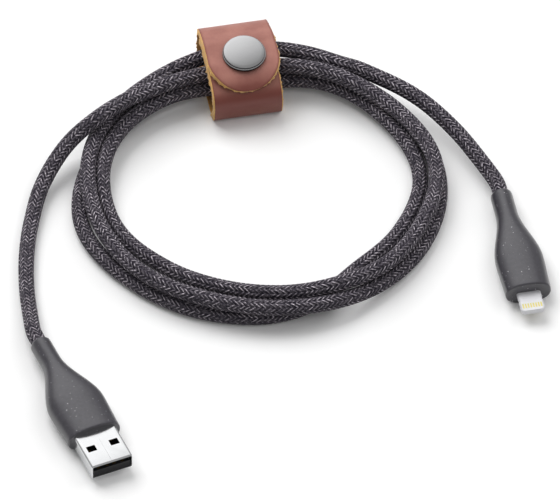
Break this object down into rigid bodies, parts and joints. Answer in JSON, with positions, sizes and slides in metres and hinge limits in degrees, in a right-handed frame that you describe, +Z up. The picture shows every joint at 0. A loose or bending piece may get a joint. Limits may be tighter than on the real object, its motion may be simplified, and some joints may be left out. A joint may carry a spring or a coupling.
{
  "type": "charging cable",
  "caption": "Coiled charging cable with a USB-A plug, a flat phone plug, a braided cord and a leather keeper strap that opens at a press snap.",
  "frame": {"origin": "on the surface that the cable lies on, under the middle of the box round its plugs and strap", "axes": "+Z up from that surface, +Y from the plugs towards the strap, +X along the strap's width, from the USB plug's side to the phone plug's side"},
  "size_m": [0.1433, 0.1505, 0.0181],
  "materials": {
    "housing": "matte charcoal with sparse white specks",
    "shell_steel": "bright nickel-plated sheet steel",
    "black_plastic": "smooth moulded black",
    "gold": "gold-plated, polished",
    "inner_plastic": "natural moulded",
    "wire": "insulated wire",
    "core": "smooth inner jacket",
    "tab_metal": "satin",
    "inlay": "satin",
    "board": "lacquered board",
    "can": "tinned sheet",
    "braid": "tight herringbone braid, near black with grey-beige flecks",
    "leather": "smooth red-brown face with tan cut edges",
    "snap_metal": "satin nickel",
    "spring_steel": "drawn wire"
  },
  "bodies": {
    "cable": {"usb_housing": "housing", "usb_shell": "shell_steel", "usb_tongue": "black_plastic", "usb_contacts": "gold", "usb_block": "inner_plastic", "usb_leads": "wire", "usb_core": "core", "pin_housing": "housing", "tab_frame": "tab_metal", "tab_inlay": "inlay", "tab_contacts_top": "gold", "tab_contacts_under": "gold", "pin_board": "board", "pin_can": "can", "pin_block": "inner_plastic", "pin_leads": "wire", "pin_core": "core", "cord_usb_end": "braid", "cord_coil": "braid", "cord_pin_end": "braid"},
    "strap": {"strap_band": "leather", "snap_stud": "snap_metal", "snap_eyelet": "snap_metal"},
    "flap": {"strap_flap": "leather", "snap_cap": "snap_metal", "snap_socket": "snap_metal", "snap_spring": "spring_steel"}
  },
  "joints": [
    {"name": "strap_slide", "type": "slide", "parent": "cable", "child": "strap", "axis": [1, 0, 0], "range_m": [-0.002, 0.002]},
    {"name": "flap_fold", "type": "hinge", "parent": "strap", "child": "flap", "pos_m": [0.0036, 0.0746, 0.012], "axis": [-1, 0, 0], "range_deg": [0, 105]}
  ]
}
